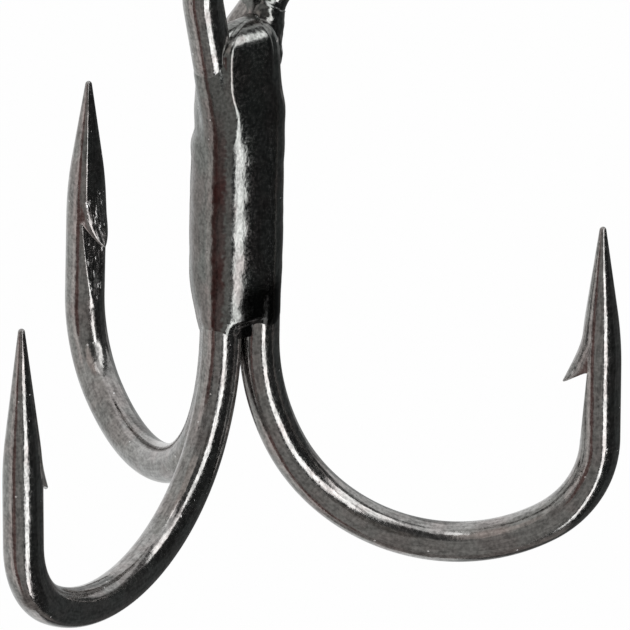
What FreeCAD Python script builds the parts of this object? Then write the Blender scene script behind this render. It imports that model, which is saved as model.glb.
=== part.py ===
import FreeCAD, Part
import math
import os
import Sketcher
from FreeCAD import Placement, Rotation, Vector

# Treble hook: two hooks and the eye are bent from one wire, a third hook lies between their
# shanks, and a brazed joint holds the three shanks together.
# The origin is the centre of the eye. +Z runs up the shank and +X points at the single hook.
# Lengths are in millimetres and angles in degrees.

SIZES = [
    ("wire_dia", 1.40, "wire of all three hooks"),
    ("shoulder_radius", 8.60, "centre line of the first arc below the shank"),
    ("shoulder_turn", 26.7, "turn of that arc"),
    ("belly_radius", 6.45, "centre line of the arc at the bottom of the bend"),
    ("belly_turn", 94.7, "turn of that arc; the heel arc turns the rest, up to the leg"),
    ("eye_drop", 13.12, "centre of the eye down to the start of the bends"),
    ("point_blend_radius", 15.0, "arc from the wire into the cone of a point"),
    ("point_tip_radius", 0.12, "round end of a point"),
    ("single_angle", 0.0, "direction of the single hook about the shank"),
    ("single_out", 0.83, "its shank from the shank axis, towards its bend"),
    ("single_side", 0.0, "its shank from the shank axis, across its bend"),
    ("single_rise", 0.0, "its bend above the start of the bends"),
    ("single_heel", 3.76, "centre line of the arc below its leg"),
    ("single_leg", 7.95, "end of its bend to the tip of its point"),
    ("single_tilt", 0.7, "how far its leg leans towards its shank"),
    ("single_point", 5.25, "length of its point"),
    ("single_barb", 5.87, "tip of its barb below the tip of its point"),
    ("single_barb_stand", 0.62, "tip of its barb above the surface of the wire"),
    ("single_barb_hook", 0.65, "root of the cut that lifts the barb above the tip of the barb"),
    ("single_barb_turn", 0.0, "turn of the barb about the leg"),
    ("first_angle", -120.0, "the same twelve for the first hook of the double wire"),
    ("first_out", 0.83, ""),
    ("first_side", 0.0, ""),
    ("first_rise", 0.30, ""),
    ("first_heel", 3.35, ""),
    ("first_leg", 8.20, ""),
    ("first_tilt", -1.85, ""),
    ("first_point", 5.9, ""),
    ("first_barb", 6.56, ""),
    ("first_barb_stand", 0.66, ""),
    ("first_barb_hook", 0.65, ""),
    ("first_barb_turn", 0.0, ""),
    ("second_angle", 118.7, "the same twelve for the second hook of the double wire"),
    ("second_out", 0.89, ""),
    ("second_side", 0.185, ""),
    ("second_rise", -0.06, ""),
    ("second_heel", 3.42, ""),
    ("second_leg", 8.14, ""),
    ("second_tilt", 0.67, ""),
    ("second_point", 5.1, ""),
    ("second_barb", 5.98, ""),
    ("second_barb_stand", 0.45, ""),
    ("second_barb_hook", 0.85, ""),
    ("second_barb_turn", 13.0, ""),
    ("barb_run", 2.05, "length of a barb along the leg"),
    ("barb_width", 1.10, "width of a barb, which is round on its outside"),
    ("barb_bite", 0.25, "depth of the cut that lifts a barb"),
    ("barb_cut_run", 2.3, "end of that cut below the tip of the barb"),
    ("eye_radius", 1.78, "centre line of the eye"),
    ("eye_angle", 46.3, "plane of the eye about the shank"),
    ("first_lean", 10.9, "spread of the first strand below the eye"),
    ("second_lean", 35.2, "spread of the second strand below the eye"),
    ("first_strand_bend", 4.0, "centre line of the bend where the first strand leaves its shank"),
    ("second_strand_bend", 1.6, "centre line of the bend where the second strand leaves its shank"),
    ("single_length", 11.1, "shank of the single hook above its bend"),
    ("single_lean_height", 7.7, "height at which that shank starts to lean"),
    ("single_lean_in", 0.23, "how far its end leans towards the axis"),
    ("single_lean_side", 0.0, "how far its end leans sideways"),
    ("single_lean_bend", 5.0, "centre line of the bend where it starts to lean"),
    ("braze_radius", 1.62, "outside of the braze round the shanks"),
    ("braze_shift", -0.04, "axis of the braze from the shank axis"),
    ("braze_bottom", 0.45, "lower end of the braze above the start of the bends"),
    ("braze_bottom_taper", 1.95, "length over which its lower end thins out"),
    ("braze_bottom_radius", 1.15, "radius at its lower end"),
    ("braze_top", 8.6, "height at which its upper end starts to thin out"),
    ("braze_top_taper", 1.0, "length over which its upper end thins out"),
    ("braze_top_radius", 1.25, "radius at its upper end"),
    ("cap_radius", 0.92, "braze over the cut end of the single hook"),
    ("cap_shift", -0.27, "its axis from the end of the single hook"),
    ("cap_cover", 0.7, "its thickness above that end"),
    ("cap_dome", 0.6, "rounding of its top"),
    ("cap_length", 3.6, "its height, down into the braze round the shanks"),
    ("web_height", 9.6, "height at which the braze between that end and the second strand starts"),
    ("web_start_radius", 0.66, "its radius there, inside the shank"),
    ("web_reach", 2.2, "how far it follows the second strand above the bend out of its shank"),
    ("web_radius", 0.80, "its radius there, round the strand"),
]
DOUBLE_HOOKS = ("first", "second")
RING_CORNERS = 3
LEAST_RUN = 1e-6
SHEET = "Sizes"

doc = FreeCAD.newDocument("treble_hook")
sheet = doc.addObject("Spreadsheet::Sheet", SHEET)
for row, (alias, value, meaning) in enumerate(SIZES, start=1):
    sheet.set(f"A{row}", alias)
    sheet.set(f"B{row}", str(value))
    sheet.setAlias(f"B{row}", alias)
    sheet.set(f"C{row}", meaning)
doc.recompute()


def size(alias):
    """The value of a named cell of the sheet."""
    return float(getattr(sheet, alias))


def bind(thing, prop, expression):
    """Ties a property to the sheet; names in braces are cells."""
    thing.setExpression(prop, expression.replace("{", SHEET + ".").replace("}", ""))


# ---------------------------------------------------------------- paths of the wires


def rounded_wire(corners):
    """Straight runs joined by tangent arcs; each corner is a point and its bend radius."""
    edges = []
    here = corners[0][0]
    for (before, _), (corner, radius), (after, _) in zip(corners, corners[1:], corners[2:]):
        into = (corner - before).normalize()
        out = (after - corner).normalize()
        half_turn = into.getAngle(out) / 2
        setback = radius * math.tan(half_turn)
        start = corner - into * setback
        end = corner + out * setback
        inside = (out - into).normalize()
        middle = corner + inside * radius * (1 / math.cos(half_turn) - 1)
        if (start - here).Length > LEAST_RUN:
            edges.append(Part.LineSegment(here, start).toShape())
        edges.append(Part.Arc(start, middle, end).toShape())
        here = end
    edges.append(Part.LineSegment(here, corners[-1][0]).toShape())
    return Part.Wire(edges)


def hook_place(hook):
    """Where a hook's bend starts on its shank, with local +X towards its leg."""
    turn = Rotation(Vector(0, 0, 1), size(f"{hook}_angle"))
    shank = turn.multVec(Vector(size(f"{hook}_out"), size(f"{hook}_side"), 0))
    return Placement(shank + Vector(0, 0, size(f"{hook}_rise") - size("eye_drop")), turn)


def bend_corners(hook):
    """Local corners of a bend, from below the shank to the base of the point."""
    turns = [math.radians(size("shoulder_turn")), math.radians(size("belly_turn"))]
    turns.append(math.pi + math.radians(size(f"{hook}_tilt")) - sum(turns))
    radii = [size("shoulder_radius"), size("belly_radius"), size(f"{hook}_heel")]
    runs = [radius * math.tan(turn / 2) for radius, turn in zip(radii, turns)]
    runs.append(size(f"{hook}_leg") - size(f"{hook}_point"))
    corners = []
    at = Vector(0, 0, 0)
    heading = 0.0
    run_before = 0.0
    for radius, turn, run in zip(radii + [None], turns + [0.0], runs):
        step = run_before + run
        at = at + Vector(step * math.sin(heading), 0, -step * math.cos(heading))
        corners.append((at, radius))
        heading += turn
        run_before = run
    return corners


def placed_bend(hook):
    """The corners of a hook's bend in the part's own frame."""
    place = hook_place(hook)
    return [(place.multVec(at), radius) for at, radius in bend_corners(hook)]


def leg_place(hook, turn=0.0):
    """The base of a hook's point, with local +Z up its leg and -X towards the shank, or turned from it."""
    base = bend_corners(hook)[-1][0]
    tilt = Rotation(Vector(0, 1, 0), -size(f"{hook}_tilt"))
    return hook_place(hook).multiply(Placement(base, tilt.multiply(Rotation(Vector(0, 0, 1), turn))))


def ring_corners():
    """Corners of the eye: what its strands are tangent to, from the first strand to the second."""
    first_lean = math.radians(size("first_lean"))
    second_lean = math.radians(size("second_lean"))
    along = Rotation(Vector(0, 0, 1), size("eye_angle")).multVec(Vector(1, 0, 0))
    up = Vector(0, 0, 1)
    start = math.pi + first_lean
    step = (math.pi + first_lean + second_lean) / RING_CORNERS
    reach = size("eye_radius") / math.cos(step / 2)
    corners = []
    for count in range(RING_CORNERS):
        angle = start - step * (count + 0.5)
        corners.append(along * (reach * math.cos(angle)) + up * (reach * math.sin(angle)))
    return corners, along, step


def strand_foot(hook, along):
    """Where a strand of the eye meets the axis of its shank, and the side it lies on."""
    side = -1 if hook == "first" else 1
    lean = math.radians(size(f"{hook}_lean"))
    shank = hook_place(hook).Base
    spread = size("eye_radius") * math.cos(lean) - side * along.dot(Vector(shank.x, shank.y, 0))
    height = -size("eye_radius") * math.sin(lean) - spread / math.tan(lean)
    return Vector(shank.x, shank.y, height)


def double_corners():
    """The whole double wire: first bend, first strand, eye, second strand, second bend."""
    ring, along, step = ring_corners()
    feet = [strand_foot(hook, along) for hook in DOUBLE_HOOKS]
    points = [feet[0]] + ring + [feet[1]]
    middle = []
    for before, corner, after in zip(points, points[1:], points[2:]):
        half_turn = (corner - before).getAngle(after - corner) / 2
        middle.append((corner, size("eye_radius") * math.tan(step / 2) / math.tan(half_turn)))
    strands = [(foot, size(f"{hook}_strand_bend")) for hook, foot in zip(DOUBLE_HOOKS, feet)]
    first, second = [placed_bend(hook) for hook in DOUBLE_HOOKS]
    return first[::-1] + strands[:1] + middle + strands[1:] + second


def single_corners():
    """The single hook: its bend, its shank and the lean of the shank's end."""
    place = hook_place("single")
    lean = place.multVec(Vector(0, 0, size("single_lean_height")))
    end = place.multVec(Vector(-size("single_lean_in"), size("single_lean_side"), size("single_length")))
    return placed_bend("single")[::-1] + [(lean, size("single_lean_bend")), (end, None)]


def swept_wire(name, corners):
    """A round wire along its corners."""
    path = doc.addObject("Part::Feature", f"{name}_path")
    path.Shape = rounded_wire(corners)
    section = doc.addObject("Part::Circle", f"{name}_section")
    bind(section, "Radius", "{wire_dia} / 2")
    start, ahead = corners[0][0], corners[1][0]
    section.Placement = Placement(start, Rotation(Vector(0, 0, 1), start - ahead))
    sweep = doc.addObject("Part::Sweep", f"{name}_wire")
    sweep.Sections = [section]
    sweep.Spine = (path, [f"Edge{count + 1}" for count in range(len(path.Shape.Edges))])
    sweep.Solid = True
    sweep.Frenet = False
    return sweep


# ---------------------------------------------------------------- points and barbs


def plane_sketch(body, name, role):
    """A sketch on one of a body's own origin planes."""
    sketch = body.newObject("Sketcher::SketchObject", name)
    plane = [item for item in body.Origin.OriginFeatures if item.Role == role][0]
    sketch.AttachmentSupport = [(plane, "")]
    sketch.MapMode = "FlatFace"
    return sketch


def dimension(sketch, kind, *place, expression):
    """A constraint whose value is tied to the sheet; its last place is the starting value."""
    index = sketch.addConstraint(Sketcher.Constraint(kind, *place))
    bind(sketch, f"Constraints[{index}]", expression)


def closed_outline(sketch, corners):
    """Straight sides through corners, each given as two expressions and its starting place."""
    points = [Vector(x, z, 0) for _, _, x, z in corners]
    for start, end in zip(points, points[1:] + points[:1]):
        sketch.addGeometry(Part.LineSegment(start, end), False)
    for side, (x_rule, z_rule, x, z) in enumerate(corners):
        before = (side - 1) % len(corners)
        sketch.addConstraint(Sketcher.Constraint("Coincident", before, 2, side, 1))
        dimension(sketch, "DistanceX", -1, 1, side, 1, x, expression=x_rule)
        dimension(sketch, "DistanceY", -1, 1, side, 1, z, expression=z_rule)


def needle_point(hook):
    """The turned point: an arc out of the wire, a cone and a round tip."""
    wire = size("wire_dia") / 2
    blend = size("point_blend_radius")
    tip = size("point_tip_radius")
    length = size(f"{hook}_point")
    slant = math.asin((blend - tip) / math.hypot(blend - wire, length - tip))
    slant -= math.atan2(blend - wire, length - tip)
    cone_start = Vector(wire - blend + blend * math.cos(slant), blend * math.sin(slant), 0)
    cone_end = Vector(tip * math.cos(slant), length - tip + tip * math.sin(slant), 0)
    normal = Vector(0, 0, 1)

    body = doc.addObject("PartDesign::Body", f"{hook}_point_body")
    sketch = plane_sketch(body, f"{hook}_point_outline", "XZ_Plane")
    base, arc, cone, end, axis = range(5)
    blend_circle = Part.Circle(Vector(wire - blend, 0, 0), normal, blend)
    tip_circle = Part.Circle(Vector(0, length - tip, 0), normal, tip)
    sketch.addGeometry(Part.LineSegment(Vector(0, 0, 0), Vector(wire, 0, 0)), False)
    sketch.addGeometry(Part.ArcOfCircle(blend_circle, 0, slant), False)
    sketch.addGeometry(Part.LineSegment(cone_start, cone_end), False)
    sketch.addGeometry(Part.ArcOfCircle(tip_circle, slant, math.pi / 2), False)
    sketch.addGeometry(Part.LineSegment(Vector(0, length, 0), Vector(0, 0, 0)), False)
    sketch.addConstraint(Sketcher.Constraint("Coincident", base, 1, -1, 1))
    sketch.addConstraint(Sketcher.Constraint("Horizontal", base))
    sketch.addConstraint(Sketcher.Constraint("Coincident", base, 2, arc, 1))
    sketch.addConstraint(Sketcher.Constraint("PointOnObject", arc, 3, -1))
    sketch.addConstraint(Sketcher.Constraint("Tangent", arc, 2, cone, 1))
    sketch.addConstraint(Sketcher.Constraint("Tangent", cone, 2, end, 1))
    sketch.addConstraint(Sketcher.Constraint("PointOnObject", end, 3, -2))
    sketch.addConstraint(Sketcher.Constraint("Coincident", end, 2, axis, 1))
    sketch.addConstraint(Sketcher.Constraint("Coincident", axis, 2, -1, 1))
    sketch.addConstraint(Sketcher.Constraint("Vertical", axis))
    dimension(sketch, "DistanceX", base, 1, base, 2, wire, expression="{wire_dia} / 2")
    dimension(sketch, "Radius", arc, blend, expression="{point_blend_radius}")
    dimension(sketch, "Radius", end, tip, expression="{point_tip_radius}")
    dimension(sketch, "DistanceY", axis, 2, axis, 1, length, expression=f"{{{hook}_point}}")
    turned = body.newObject("PartDesign::Revolution", f"{hook}_point_turned")
    turned.Profile = sketch
    turned.ReferenceAxis = (sketch, ["V_Axis"])
    turned.Angle = 360
    body.Placement = leg_place(hook)
    return body


def prism(name, corners, hook):
    """A straight-sided bar across a leg, as wide as the wire on each side of its axis."""
    body = doc.addObject("PartDesign::Body", name)
    sketch = plane_sketch(body, f"{name}_outline", "XZ_Plane")
    closed_outline(sketch, corners)
    pad = body.newObject("PartDesign::Pad", f"{name}_pad")
    pad.Profile = sketch
    bind(pad, "Length", "{wire_dia} * 2")
    pad.Midplane = True
    body.Placement = leg_place(hook, size(f"{hook}_barb_turn"))
    return body


def barb_parts(hook):
    """The tongue of round wire that stands off a leg, and the cut that lifted it."""
    wire = size("wire_dia") / 2
    tip_z = size(f"{hook}_point") - size(f"{hook}_barb")
    tip_x = -wire - size(f"{hook}_barb_stand")
    root_x = size("barb_bite") - wire
    root_z = tip_z + size(f"{hook}_barb_hook")
    cut_z = tip_z - size("barb_cut_run")
    start_z = tip_z + size("barb_run")
    far_x = 2 * tip_x - root_x
    far_z = 2 * tip_z - root_z
    tip = f"({{{hook}_point}} - {{{hook}_barb}})"
    stand = f"(-{{wire_dia}} / 2 - {{{hook}_barb_stand}})"
    root = "({barb_bite} - {wire_dia} / 2)"
    far = f"(2 * {stand} - {root})"

    tongue_corners = [
        ("0", f"{tip} + {{barb_run}}", 0, start_z),
        (root, f"{tip} + {{barb_run}}", root_x, start_z),
        (stand, tip, tip_x, tip_z),
        ("0", tip, 0, tip_z),
    ]
    cut_corners = [
        (root, f"{tip} + {{{hook}_barb_hook}}", root_x, root_z),
        (far, f"{tip} - {{{hook}_barb_hook}}", far_x, far_z),
        (far, f"{tip} - {{barb_cut_run}}", far_x, cut_z),
        ("-{wire_dia} / 2", f"{tip} - {{barb_cut_run}}", -wire, cut_z),
    ]
    wedge = prism(f"{hook}_barb_wedge", tongue_corners, hook)
    cut = prism(f"{hook}_barb_cut", cut_corners, hook)

    run = Vector(tip_x - root_x, 0, tip_z - start_z)
    inward = Vector(-run.z, 0, run.x).normalize()
    axis_start = Vector(root_x, 0, start_z) + inward * (size("barb_width") / 2)
    blank = doc.addObject("Part::Cylinder", f"{hook}_barb_blank")
    bind(blank, "Radius", "{barb_width} / 2")
    blank.Height = run.Length
    blank_place = Placement(axis_start, Rotation(Vector(0, 0, 1), run))
    blank.Placement = leg_place(hook, size(f"{hook}_barb_turn")).multiply(blank_place)
    tongue = doc.addObject("Part::Common", f"{hook}_barb_tongue")
    tongue.Base = wedge
    tongue.Tool = blank
    return tongue, cut


# ---------------------------------------------------------------- the three pieces


def hook_wire(name, hooks, corners):
    """A wire with the points and barbs of its hooks."""
    wire = swept_wire(name, corners)
    points = [needle_point(hook) for hook in hooks]
    barbs = [barb_parts(hook) for hook in hooks]
    piece = doc.addObject("Part::MultiFuse", f"{name}_blank")
    piece.Shapes = [wire] + points + [tongue for tongue, _ in barbs]
    piece.Refine = True
    for hook, (_, cut) in zip(hooks, barbs):
        notched = doc.addObject("Part::Cut", f"{hook}_notched")
        notched.Base = piece
        notched.Tool = cut
        piece = notched
    piece.Label = name
    return piece


def turned_solid(name, corners, centre):
    """A solid turned about a vertical axis from straight sides."""
    body = doc.addObject("PartDesign::Body", f"{name}_body")
    sketch = plane_sketch(body, f"{name}_outline", "XZ_Plane")
    closed_outline(sketch, corners)
    turned = body.newObject("PartDesign::Revolution", f"{name}_turned")
    turned.Profile = sketch
    turned.ReferenceAxis = (sketch, ["V_Axis"])
    turned.Angle = 360
    body.Placement = Placement(centre, Rotation())
    return body


def braze_web():
    """The braze between the single hook's end and the second strand: a cone and its round end."""
    (lean, _), (end, _) = single_corners()[-2:]
    rise = size("web_height") - size("single_lean_height")
    start = lean + (end - lean) * (rise / (end.z - lean.z))
    ring, along, _ = ring_corners()
    foot = strand_foot("second", along)
    strand = foot + (ring[-1] - foot).normalize() * size("web_reach")
    web = doc.addObject("Part::Cone", "web")
    bind(web, "Radius1", "{web_start_radius}")
    bind(web, "Radius2", "{web_radius}")
    web.Height = (strand - start).Length
    web.Placement = Placement(start, Rotation(Vector(0, 0, 1), strand - start))
    web_end = doc.addObject("Part::Sphere", "web_end")
    bind(web_end, "Radius", "{web_radius}")
    web_end.Placement = Placement(strand, Rotation())
    return [web, web_end]


def braze(hooks):
    """The braze: a sleeve round the shanks, a cap on the single hook's end and a web, less the wires."""
    bottom = size("braze_bottom")
    full = bottom + size("braze_bottom_taper")
    top = size("braze_top")
    thin = top + size("braze_top_taper")
    thin_rule = "{braze_top} + {braze_top_taper}"
    sleeve_corners = [
        ("0", "{braze_bottom}", 0, bottom),
        ("{braze_bottom_radius}", "{braze_bottom}", size("braze_bottom_radius"), bottom),
        ("{braze_radius}", "{braze_bottom} + {braze_bottom_taper}", size("braze_radius"), full),
        ("{braze_radius}", "{braze_top}", size("braze_radius"), top),
        ("{braze_top_radius}", thin_rule, size("braze_top_radius"), thin),
        ("0", thin_rule, 0, thin),
    ]
    foot = Vector(size("braze_shift"), 0, -size("eye_drop"))
    sleeve = turned_solid("sleeve", sleeve_corners, foot)

    end = single_corners()[-1][0]
    cap = doc.addObject("Part::Cylinder", "cap_blank")
    bind(cap, "Radius", "{cap_radius}")
    bind(cap, "Height", "{cap_length}")
    cap_base = end + Vector(size("cap_shift"), 0, size("cap_cover") - size("cap_length"))
    cap.Placement = Placement(cap_base, Rotation())
    doc.recompute()
    dome = doc.addObject("Part::Fillet", "cap_dome")
    dome.Base = cap
    top_edge = max(range(len(cap.Shape.Edges)), key=lambda count: cap.Shape.Edges[count].BoundBox.ZMin)
    dome.Edges = [(top_edge + 1, size("cap_dome"), size("cap_dome"))]

    blank = doc.addObject("Part::MultiFuse", "braze_blank")
    blank.Shapes = [sleeve, dome] + braze_web()
    for hook in hooks:
        bored = doc.addObject("Part::Cut", f"braze_less_{hook.Label}")
        bored.Base = blank
        bored.Tool = hook
        blank = bored
    blank.Label = "braze_joint"
    return blank


double_hook = hook_wire("double_hook", DOUBLE_HOOKS, double_corners())
single_hook = hook_wire("single_hook", ("single",), single_corners())
braze_joint = braze([double_hook, single_hook])
pieces = [double_hook, single_hook, braze_joint]
doc.recompute()

for item in doc.Objects:
    if "Invalid" in item.State or "Error" in item.State:
        raise RuntimeError(f"{item.Label} failed: {item.State}")
for piece in pieces:
    if piece.Shape.isNull() or not piece.Shape.isValid():
        raise RuntimeError(f"{piece.Label} has no valid shape")
    if len(piece.Shape.Solids) != 1:
        raise RuntimeError(f"{piece.Label} has {len(piece.Shape.Solids)} solids")

os.makedirs("parts", exist_ok=True)
for piece in pieces:
    piece.Shape.exportStep(f"parts/{piece.Label}.step")
    box = piece.Shape.BoundBox
    print(f"{piece.Label}: volume {piece.Shape.Volume:.4f}, Z {box.ZMin:.3f} to {box.ZMax:.3f}")
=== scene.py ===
import math

import bpy
import numpy as np
from mathutils import Matrix, Vector


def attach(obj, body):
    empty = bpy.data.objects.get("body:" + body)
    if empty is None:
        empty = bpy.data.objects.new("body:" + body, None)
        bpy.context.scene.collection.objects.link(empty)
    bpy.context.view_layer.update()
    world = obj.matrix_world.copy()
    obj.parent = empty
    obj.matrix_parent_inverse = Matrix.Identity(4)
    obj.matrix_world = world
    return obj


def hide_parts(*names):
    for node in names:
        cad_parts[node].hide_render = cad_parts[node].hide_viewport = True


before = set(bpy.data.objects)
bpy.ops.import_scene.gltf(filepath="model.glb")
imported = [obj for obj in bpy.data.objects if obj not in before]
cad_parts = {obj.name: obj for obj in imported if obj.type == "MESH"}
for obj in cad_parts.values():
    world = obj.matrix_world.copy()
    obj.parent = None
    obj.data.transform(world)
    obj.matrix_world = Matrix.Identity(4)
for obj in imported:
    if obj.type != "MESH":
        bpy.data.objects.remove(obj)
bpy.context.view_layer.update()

bl_info = {
    "name": "Treble hook",
    "version": (1, 0, 0),
    "blender": (4, 5, 0),
    "location": "View3D > Sidebar > Treble hook",
    "description": "Builds a black plated treble hook round its packed frame, and a studio for it",
    "category": "Object",
}

BODY = "root"
STRAIGHTENED = "straightened"
WORKED = "worked"
MM = 0.001
OUT = np.array([1.0, 0.0, 0.0])
ACROSS = np.array([0.0, 1.0, 0.0])
UP = np.array([0.0, 0.0, 1.0])
WHITE = (1.0, 1.0, 1.0, 1.0)
# A straight run shorter than this, in metres, gets no points.
LEAST_RUN = 1e-7


# ---------------------------------------------------------------- sizes and colours


def length(name, millimetres, description):
    """A property that is a length, given in millimetres and kept in metres."""
    return bpy.props.FloatProperty(
        name=name, description=description, default=millimetres * MM, unit="LENGTH", precision=6
    )


def angle(name, degrees, description):
    """A property that is an angle, given in degrees and kept in radians."""
    return bpy.props.FloatProperty(
        name=name, description=description, default=math.radians(degrees), unit="ROTATION"
    )


def share(name, default, description):
    """A property that is a part of a whole, from 0 to 1."""
    return bpy.props.FloatProperty(
        name=name, description=description, default=default, min=0.0, max=1.0, subtype="FACTOR"
    )


def colour(name, default, description):
    """A property that is a linear colour."""
    return bpy.props.FloatVectorProperty(
        name=name, description=description, default=default, size=3, subtype="COLOR", min=0.0, max=1.0
    )


class WireSizes(bpy.types.PropertyGroup):
    """The two wires, in the part's own frame, with WIRE_MEASURES for each hook."""

    wire_dia: length("Wire", 1.40, "Diameter of both wires")
    shoulder_radius: length("Shoulder radius", 8.60, "First arc of a bend, below the shank")
    shoulder_turn: angle("Shoulder turn", 26.7, "Turn of the first arc of a bend")
    belly_radius: length("Belly radius", 6.45, "Arc at the bottom of a bend")
    belly_turn: angle("Belly turn", 94.7, "Turn of the arc at the bottom of a bend")
    eye_drop: length("Eye drop", 13.12, "Centre of the eye down to the start of the bends")
    point_blend_radius: length("Point blend", 15.0, "Arc from the wire into the cone of a point")
    point_tip_radius: length("Point tip", 0.12, "Round end of a point")
    eye_radius: length("Eye radius", 1.78, "Centre line of the eye")
    eye_angle: angle("Eye angle", 46.3, "Plane of the eye about the shank")
    first_lean: angle("First lean", 10.9, "Spread of the first strand below the eye")
    second_lean: angle("Second lean", 35.2, "Spread of the second strand below the eye")
    first_strand_bend: length("First strand bend", 4.0, "Bend where the first strand leaves its shank")
    second_strand_bend: length("Second strand bend", 1.6, "Bend where the second strand leaves its shank")
    single_length: length("Single shank", 11.1, "Shank of the single hook above its bend")
    single_lean_height: length("Lean height", 7.7, "Height at which that shank starts to lean")
    single_lean_in: length("Lean in", 0.23, "How far its end leans towards the axis")
    single_lean_side: length("Lean side", 0.0, "How far its end leans sideways")
    single_lean_bend: length("Lean bend", 5.0, "Bend where it starts to lean")
    facet_fade: length("Facet fade", 0.4, "Length over which the second point's facet starts above its barb")


class BarbSizes(bpy.types.PropertyGroup):
    """The sliver that a chisel lifts out of each leg, and the flat that it leaves, with BARB_MEASURES."""

    run: length("Run", 1.95, "Length of a barb along the leg")
    bite: length("Bite", 0.25, "Depth of the cut that lifts a barb")
    cut_run: length("Cut run", 2.3, "End of that cut below the tip of the barb")
    nose: length("Nose", 0.07, "Thickness of the blunt tip of a barb")
    spread: angle("Spread", 52.0, "Half of the width of a barb, about the axis of the leg")
    seam: length("Seam", 0.09, "Stretch of the plain leg on each side of the cut that folds into its faces")
    slack: length("Slack", 0.5, "Lowest row that folds, below the tip of the barb")


# What each hook has of its own: key, kind, meaning, and the values of the single, the first and the second
# hook, in millimetres or degrees. The single hook is the short wire; the others are the double wire's.
HOOKS = ("single", "first", "second")
WIRE_MEASURES = (
    ("angle", angle, "Direction of the hook about the shank axis", 0.0, -120.0, 118.7),
    ("out", length, "Its shank from the shank axis", 0.83, 0.83, 0.89),
    ("side", length, "Its shank, across its bend", 0.0, 0.0, 0.185),
    ("rise", length, "Its bend above the start of the bends", 0.0, 0.30, -0.06),
    ("heel", length, "Arc below its leg", 3.76, 3.35, 3.42),
    ("leg", length, "End of its bend to the tip of its point", 7.95, 8.20, 8.14),
    ("tilt", angle, "How far its leg leans towards its shank", 0.7, -1.85, 0.67),
    ("point", length, "Length of its point", 5.25, 5.9, 5.1),
    ("flat_angle", angle, "Direction that its flattened side faces", -43.5, -43.5, -44.0),
    ("flat_depth", length, "Depth of that side in the full wire", 0.045, 0.065, 0.15),
    ("flat_bulge", length, "Radius of that side", 0.95, 0.95, 4.0),
)
BARB_MEASURES = (
    ("drop", length, "Tip of its barb below the tip of its point", 5.87, 6.56, 5.98),
    ("stand", length, "Tip of its barb above the surface of the wire", 0.62, 0.66, 0.45),
    ("hook", length, "Root of the cut that lifts its barb, above the barb's tip", 0.65, 0.65, 0.85),
    ("turn", angle, "Turn of its barb about the leg", 0.0, 0.0, 13.0),
)


def add_measures(group, measures):
    """Gives a property group each measure once for each hook."""
    for key, kind, meaning, *values in measures:
        for hook, value in zip(HOOKS, values):
            name = f"{hook} {key}".replace("_", " ").capitalize()
            group.__annotations__[f"{hook}_{key}"] = kind(name, value, meaning)


add_measures(WireSizes, WIRE_MEASURES)
add_measures(BarbSizes, BARB_MEASURES)


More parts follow.
